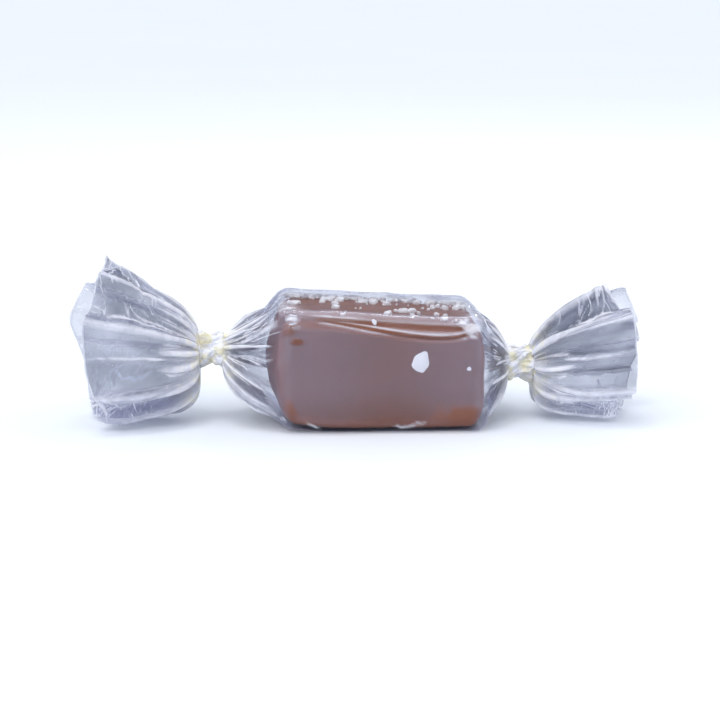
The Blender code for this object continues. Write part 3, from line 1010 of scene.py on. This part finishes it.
def make_wrap(settings):
    """Film round the block with both necks, down to the knots."""
    turns = sheet_turns(settings, 346, 1.6)[None, :]
    neck = np.linspace(1.0, 0.0, 44)[:-1, None]
    right_neck = np.linspace(0.0, 1.0, 37)[1:, None]
    body = np.linspace(-FILM_NECK_FROM, FILM_NECK_FROM, 62)[:, None]
    middle, angle = film_section(body, turns + 0 * body, end_inset(body))
    left = neck_surface(LEFT_END, neck + 0 * turns, turns + 0 * neck)
    right = neck_surface(RIGHT_END, right_neck + 0 * turns, turns + 0 * right_neck)
    grid = np.concatenate((left, middle, right))
    spread = turns + 0 * grid[..., 0]
    along = np.concatenate((neck, 0 * body, right_neck)) + 0 * spread
    x = grid[..., 0].mean(axis=1, keepdims=True)
    near_end = smooth_rise(1 - (FILM_NECK_FROM - np.abs(x)) / 0.0036)
    top = np.zeros_like(spread)
    top[len(neck):len(neck) + len(body)] = smooth_rise(np.sin(angle) * 2 - 1)
    depth = settings.crinkle * (0.05 + 0.22 * top + 0.65 * near_end) + settings.crinkle * 0.5 * along
    depth = depth * (1 - 0.5 * along)
    grid = crumpled(grid, spread, x + 0 * spread, depth, 3)
    grid = grid + grid_normals(grid) * (0.55 * depth * (1 - smooth_rise(along * 4)))[..., None]
    below = (spread - 1.0 - EDGE_MIDDLE) * FILM_AROUND
    on_body = along < 1e-9
    lines = stuck_lines(x, below) * on_body
    grid = grid - grid_normals(grid) * (FILM_GROOVE * lines)[..., None]
    # Painted glints: white spots on the dimples
    glint_spots = np.zeros_like(spread)
    ragged = 0.5 * lattice_noise(x * 1700 + 9, below * 1700 + 30, 33)
    for dimple_x, dimple_below, wide, deep in DIMPLES:
        far = np.hypot(x - dimple_x, below - dimple_below) / wide
        grid = grid + grid_normals(grid) * (deep * np.cos(far * 3.0) * bell(far))[..., None]
        glint_spots = np.maximum(glint_spots, smooth_rise(1.0 - far - ragged) * min(deep / 0.0003, 1.0))
    grid = over_floor(spiral(grid, spread, WRAP_RISE), WRAP_CLEAR, WRAP_SOFTNESS)
    # Painted highlights: white streaks along the section's corners near the necks
    corners = np.zeros_like(spread)
    for middle in (FILM_MARKS[:8:2] + FILM_MARKS[1:9:2]) / 2:
        away = (spread - middle + 0.5) % 1.0 - 0.5
        corners = np.maximum(corners, bell(away / 0.009))
    streak = 0.6 + 0.4 * lattice_noise(spread * 80, x * 500, 8, 64)
    corners = corners * smooth_rise(along * 8) * streak
    # Painted highlight: a ragged white line low along the front
    ragged = lattice_noise(x * 900 + 9, 0 * x, 19) + 0.4 * lattice_noise(x * 2100 + 9, 0 * x, 20)
    foot_highlight = bell((grid[..., 2] - block_lift(x) - 0.0014 - 0.0005 * ragged) / 0.00018)
    foot_highlight = foot_highlight * (grid[..., 1] < -0.4 * BLOCK_DEPTH) * on_body
    foot_highlight = foot_highlight * smooth_rise(3 * lattice_noise(x * 420 + 9, 0 * x, 18))
    # Painted highlights: crumpled white glints near the ends of the top and along its back edge
    crumple_glints = smooth_rise(1.5 * lattice_noise(spread * 96, x * 320 + 40, 31, 96) + 0.1)
    back = top * smooth_rise((grid[..., 1] - 0.30 * BLOCK_DEPTH) / 0.003)
    crumple_glints = 0.55 * crumple_glints * np.maximum(near_end * top, back)
    # Painted highlight: a pale band along the rounded upper front edge
    highlight_band = smooth_rise(1 - np.abs(below + 0.0013) / 0.0011) * on_body * (0.8 + 0.2 * streak)
    # Gather carries the grey of gathered film, as painted shade, darker towards the knots
    marks = {
        "crease_highlight": np.maximum.reduce(
            (sheet_edges(grid) * 0.35, 0.8 * corners, 0.20 * highlight_band, 0.6 * foot_highlight, crumple_glints, 0.75 * glint_spots)
        ),
        "gather_and_shade": along**0.8,
        "tight": along**5,
        "contact": film_contact(grid, spread, along) + lines,
    }
    return film_piece("film_wrap", grid, marks, settings)


def make_fan(end, settings):
    """The fan past one knot."""
    along = np.linspace(0.0, 1.0, 142)[:, None] ** 1.3
    turns = sheet_turns(settings, 326, 0.0)[None, :: end["side"]]
    grid, fold, taken = fan_surface(end, along + 0 * turns, turns + 0 * along)
    length = abs(end["rim"][0] - end["knot"][0])
    spread = turns + 0 * along
    depth = 1.4 * settings.crinkle * smooth_rise(along * 3) * (0.45 + 0.55 * along) * (1 - 0.6 * taken)
    grid = crumpled(grid, spread, along * length + 0 * spread, depth, end["seed"])
    grid = over_floor(spiral(grid, spread, FAN_RISE), FAN_CLEAR, FAN_SOFTNESS)
    # Painted highlights: white along the rim, the cut edges and the fold ridges near the knot
    rim_line = smooth_rise((along - 0.985) / 0.01)
    # Painted shade: the grey of gathered film comes in darker and lighter patches, and is lighter low down
    low = smooth_rise((0.0075 - grid[..., 2]) / 0.006)
    shade = 0.96 + 0.46 * lattice_noise(spread * 22, along * 2.5 + 9, end["seed"], 22)
    shade = shade + 0.45 * flat_facets(spread * 26, along * length / 0.0036, end["seed"] + 1, 26)
    streak = 0.55 + 0.45 * lattice_noise(spread * 90, along * 5 + 3, end["seed"] + 4, 90)
    highlight_band = smooth_rise((fold - 0.1) / 0.7) * (1.0 - along) ** 0.8 * (1.0 - 0.4 * taken) * streak
    marks = {
        "crease_highlight": np.maximum(np.maximum(sheet_edges(grid), rim_line) * 0.9, 0.9 * highlight_band),
        "gather_and_shade": np.clip((1.0 - 0.25 * along) * shade * (1.0 - 0.65 * low), 0.0, 1.6),
        "tight": (1.0 - along) ** 9 + 0 * spread,
        "contact": 0 * spread,
    }
    return film_piece(f"{end['name']}_fan", grid, marks, settings)


def make_knot(end, settings):
    """The twisted film between neck and fan, closed at both ends: a crumpled bunch whose radius has ridges,
    1 less the size of a sine of the angle as it winds on."""
    rows, columns = 60, 170
    side = end["side"]
    along = np.linspace(0.0, 1.0, rows)[:, None]
    angle = np.linspace(0.0, 2 * math.pi, columns, endpoint=False)[None, :]
    wander = 0.5 * np.sin(2 * angle + 3 * along) + 0.35 * np.sin(3 * angle - 4 * along + end["seed"])
    wound = angle + 1.3 * side * along + 0.4 * wander * (1 - np.abs(2 * along - 1))
    ridge = 1 - np.abs(np.sin(3.5 * wound))
    strand = 1 - np.abs(np.sin(8.5 * wound + 0.8 * np.sin(3 * angle)))
    lump = 0.16 * np.sin(angle + end["seed"]) * np.sin(math.pi * along)
    radius = 0.80 + 0.18 * np.cos(2 * math.pi * along) + 0.26 * ridge + 0.10 * strand + lump
    closing = np.sqrt(np.clip(np.sin(math.pi * np.clip(along, 0.02, 0.98)), 0, 1)) ** 0.35
    radius = KNOT_RADIUS * KNOT_WIDER * radius * closing
    length = KNOT_LENGTH * KNOT_LONGER
    bent = 0.0005 * np.sin(math.pi * along)
    x = end["knot"][0] + side * length * (along - 0.5) + 0 * angle
    y = end["knot"][1] + radius * np.cos(angle)
    z = end["knot"][2] + radius * np.sin(angle) + bent
    grid = np.stack((x, y, z), axis=2)
    turns = angle / (2 * math.pi) + 0 * along
    grid = crumpled(grid, turns, 3 * along * length + 0 * angle, KNOT_CRUMPLE, end["seed"])
    if side < 0:
        grid = grid[:, ::-1]
    # Painted highlights along the knot's sharp folds
    crease_highlight = smooth_rise((sharpness(grid, CREASE_WIDTH) - 0.10) / 0.6)
    vertices, caps, (crease_highlight,) = close_ends(from_block_middle(grid), crease_highlight)
    even = np.ones_like(crease_highlight)
    # The whole knot takes the grey of gathered film, as painted shade, and the painted white of tight
    # gathers
    marks = {"crease_highlight": crease_highlight, "gather_and_shade": even, "tight": even, "contact": 0 * even}
    quads = grid_faces(rows, columns, closed=True)
    return dress_in_film(mesh_piece(f"{end['name']}_knot", vertices, quads, caps, marks), settings)


# The stage


def make_floor():
    bpy.ops.mesh.primitive_plane_add(size=8.0)
    floor = bpy.context.object
    floor.name = "studio_floor"
    floor.data.materials.append(floor_material())


def make_lamp(name, kind, power, color, place, direction):
    """A lamp that shines in a direction."""
    light = bpy.data.lights.new(name, kind)
    light.energy = power
    light.color = color
    lamp = bpy.data.objects.new(name, light)
    lamp.location = place
    lamp.rotation_euler = Vector(direction).to_track_quat("-Z", "Y").to_euler()
    bpy.context.scene.collection.objects.link(lamp)
    return light


def soft_box(name, place, target, size, power, color):
    light = make_lamp(name, "AREA", power, color, place, Vector(target) - Vector(place))
    light.shape = "RECTANGLE"
    light.size, light.size_y = size


def daylight():
    """A sun of wide angle, so that the floor is lit evenly however far it runs."""
    light = make_lamp("window", "SUN", 1.0, (1.0, 1.0, 1.0), (0, 0, 0), (0.5, 0.9, -1.4))
    light.angle = math.radians(50)


def make_world():
    """Studio surroundings: dark low down, pale overhead, with a narrow bright ring between them that
    shows as thin highlights on the film; the camera itself sees plain white."""
    world = bpy.data.worlds.new("studio")
    world.use_nodes = True
    nodes, links = world.node_tree.nodes, world.node_tree.links
    place = nodes.new("ShaderNodeTexCoord")
    split = nodes.new("ShaderNodeSeparateXYZ")
    links.new(place.outputs["Generated"], split.inputs[0])
    ramp = nodes.new("ShaderNodeValToRGB")
    elements = ramp.color_ramp.elements
    while len(elements) < len(SKY):
        elements.new(0.5)
    for element, (position, color) in zip(elements, SKY):
        element.position = position
        element.color = color
    links.new(split.outputs["Z"], ramp.inputs["Fac"])
    light = nodes["Background"]
    links.new(ramp.outputs["Color"], light.inputs["Color"])
    light.inputs["Strength"].default_value = SKY_STRENGTH
    plain = nodes.new("ShaderNodeBackground")
    plain.inputs["Color"].default_value = (1.0, 1.0, 1.0, 1.0)
    plain.inputs["Strength"].default_value = 1.0
    path = nodes.new("ShaderNodeLightPath")
    blend = nodes.new("ShaderNodeMixShader")
    links.new(path.outputs["Is Camera Ray"], blend.inputs["Fac"])
    links.new(light.outputs[0], blend.inputs[1])
    links.new(plain.outputs[0], blend.inputs[2])
    links.new(blend.outputs[0], nodes["World Output"].inputs["Surface"])
    bpy.context.scene.world = world


def make_camera(settings):
    low, high = (Vector(corner) for corner in CAD_BOX)
    target = Vector(((low.x + high.x) / 2, 0.0, 0.0085))
    width = (high.x - low.x) / settings.share
    camera_data = bpy.data.cameras.new("camera")
    camera_data.lens = settings.lens
    camera_data.sensor_width = 36.0
    distance = width * settings.lens / camera_data.sensor_width
    back = Vector((
        math.sin(settings.azimuth) * math.cos(settings.elevation),
        -math.cos(settings.azimuth) * math.cos(settings.elevation),
        math.sin(settings.elevation),
    ))
    camera = bpy.data.objects.new("camera", camera_data)
    camera.location = target + back * distance
    camera.rotation_euler = (-back).to_track_quat("-Z", "Y").to_euler()
    camera_data.clip_start = 0.01
    camera_data.clip_end = 20.0
    bpy.context.scene.collection.objects.link(camera)
    bpy.context.scene.camera = camera


def finish_piece(piece, slot, *nodes):
    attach(piece, "root")
    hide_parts(*nodes)


class CARAMEL_OT_block(bpy.types.Operator):
    """Makes the block of caramel"""

    bl_idname = "caramel.block"
    bl_label = "Caramel Block"

    def execute(self, context):
        finish_piece(make_block(context.scene.caramel_block), "caramel", "caramel")
        return {"FINISHED"}


class CARAMEL_OT_salt(bpy.types.Operator):
    """Scatters the salt on the caramel"""

    bl_idname = "caramel.salt"
    bl_label = "Salt"

    def execute(self, context):
        finish_piece(make_salt(context.scene.caramel_salt), "caramel", "caramel")
        return {"FINISHED"}


class CARAMEL_OT_wrap(bpy.types.Operator):
    """Wraps the film round the block"""

    bl_idname = "caramel.wrap"
    bl_label = "Film Wrap"

    def execute(self, context):
        finish_piece(make_wrap(context.scene.caramel_film), "film", "wrapper")
        return {"FINISHED"}


class CARAMEL_OT_ends(bpy.types.Operator):
    """Makes the knots and fans of both ends"""

    bl_idname = "caramel.ends"
    bl_label = "Knots and Fans"

    def execute(self, context):
        for end in (LEFT_END, RIGHT_END):
            finish_piece(make_knot(end, context.scene.caramel_film), "film", "wrapper")
            finish_piece(make_fan(end, context.scene.caramel_film), "film", "wrapper")
        return {"FINISHED"}


class CARAMEL_OT_stage(bpy.types.Operator):
    """Sets the floor, the lights and the camera"""

    bl_idname = "caramel.stage"
    bl_label = "Studio"

    def execute(self, context):
        make_floor()
        make_world()
        make_camera(context.scene.caramel_stage)
        daylight()
        for lamp in SOFT_BOXES:
            soft_box(*lamp)
        for number in range(SPARKLES):
            turn = math.radians(200 + 47 * number)
            height = 0.12 + 0.06 * ((3 * number) % 5)
            place = (SPARKLE_DISTANCE * math.cos(turn), SPARKLE_DISTANCE * math.sin(turn), height)
            soft_box(f"sparkle_{number}", place, (0, 0, 0.01), SPARKLE_SIZE, SPARKLE_POWER, (1.0, 1.0, 1.0))
        scene = context.scene
        scene.view_settings.view_transform = "Standard"
        scene.cycles.transparent_max_bounces = 48
        scene.cycles.max_bounces = 16
        return {"FINISHED"}


class CARAMEL_PT_panel(bpy.types.Panel):
    """Lists the pieces of the wrapped caramel"""

    bl_idname = "CARAMEL_PT_panel"
    bl_label = "Wrapped Caramel"
    bl_space_type = "VIEW_3D"
    bl_region_type = "UI"
    bl_category = "Caramel"

    def draw(self, context):
        layout = self.layout
        for operator in OPERATORS:
            layout.operator(operator.bl_idname)


SETTINGS = {
    "caramel_block": CaramelBlockSettings,
    "caramel_salt": CaramelSaltSettings,
    "caramel_film": CaramelFilmSettings,
    "caramel_stage": CaramelStageSettings,
}
OPERATORS = (CARAMEL_OT_block, CARAMEL_OT_salt, CARAMEL_OT_wrap, CARAMEL_OT_ends, CARAMEL_OT_stage)


def register():
    for name, group in SETTINGS.items():
        bpy.utils.register_class(group)
        setattr(bpy.types.Scene, name, PointerProperty(type=group))
    for operator in OPERATORS:
        bpy.utils.register_class(operator)
    bpy.utils.register_class(CARAMEL_PT_panel)


def unregister():
    bpy.utils.unregister_class(CARAMEL_PT_panel)
    for operator in reversed(OPERATORS):
        bpy.utils.unregister_class(operator)
    for name, group in SETTINGS.items():
        delattr(bpy.types.Scene, name)
        bpy.utils.unregister_class(group)


def main():
    register()
    bpy.ops.caramel.block()
    bpy.ops.caramel.salt()
    bpy.ops.caramel.wrap()
    bpy.ops.caramel.ends()
    bpy.ops.caramel.stage()


if __name__ == "__main__":
    main()
